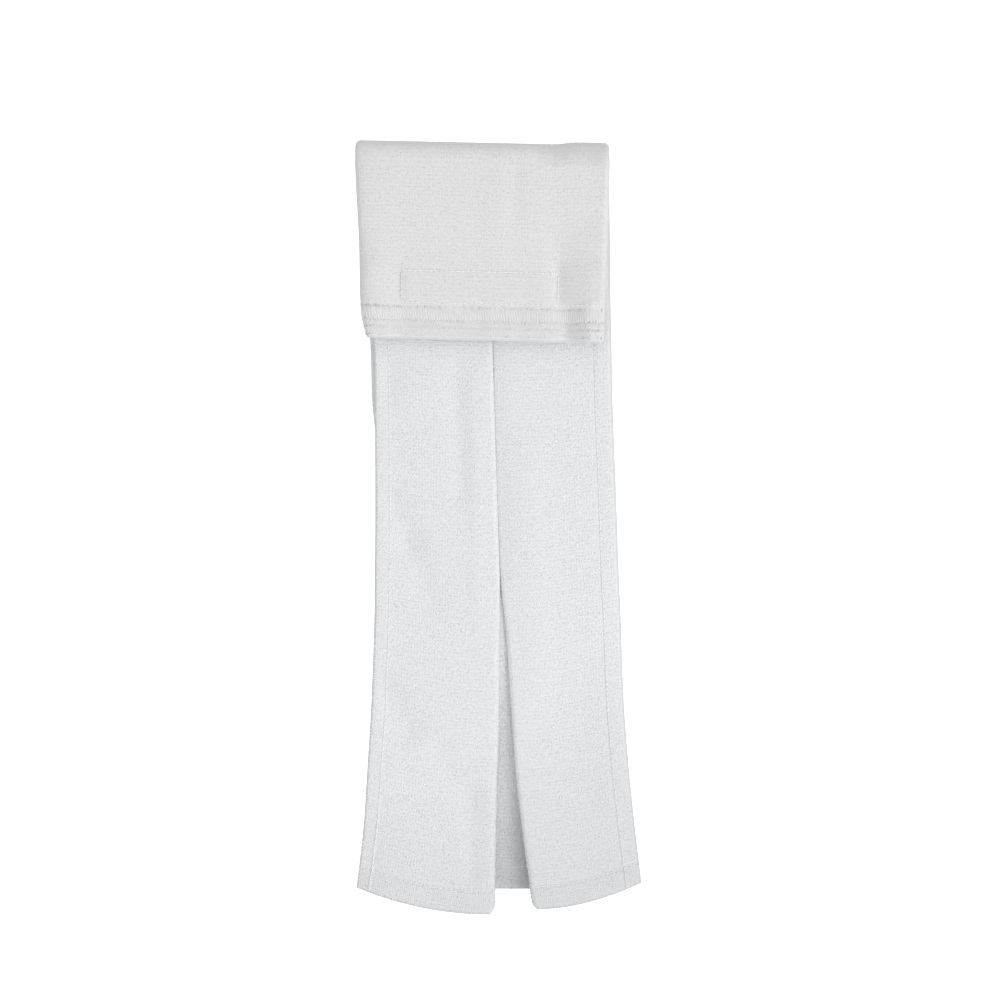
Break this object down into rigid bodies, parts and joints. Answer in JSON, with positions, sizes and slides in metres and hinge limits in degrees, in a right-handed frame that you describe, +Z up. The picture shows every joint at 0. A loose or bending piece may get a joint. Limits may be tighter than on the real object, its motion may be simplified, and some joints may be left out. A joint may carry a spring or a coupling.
{
  "type": "sports towel",
  "caption": "Sports towel of white terry cloth, folded lengthwise in a pleat and turned over at the top as a flap that closes round a belt.",
  "frame": {"origin": "on the surface the towel lies on, under the middle of its bounding box", "axes": "+Y along the towel's length towards the turn that takes the belt, +X across it to the right as seen from above, +Z up out of the flap's face"},
  "size_m": [0.1162, 0.3142, 0.0206],
  "materials": {
    "terry_cloth": "white cotton terry with short loops on the inner side of the fold, flat-woven end hems and turned side hems",
    "hook_tape": "white woven nylon tape with hooks, matt"
  },
  "bodies": {
    "root": {"towel": "terry_cloth", "hook_tape": "hook_tape"}
  },
  "joints": []
}
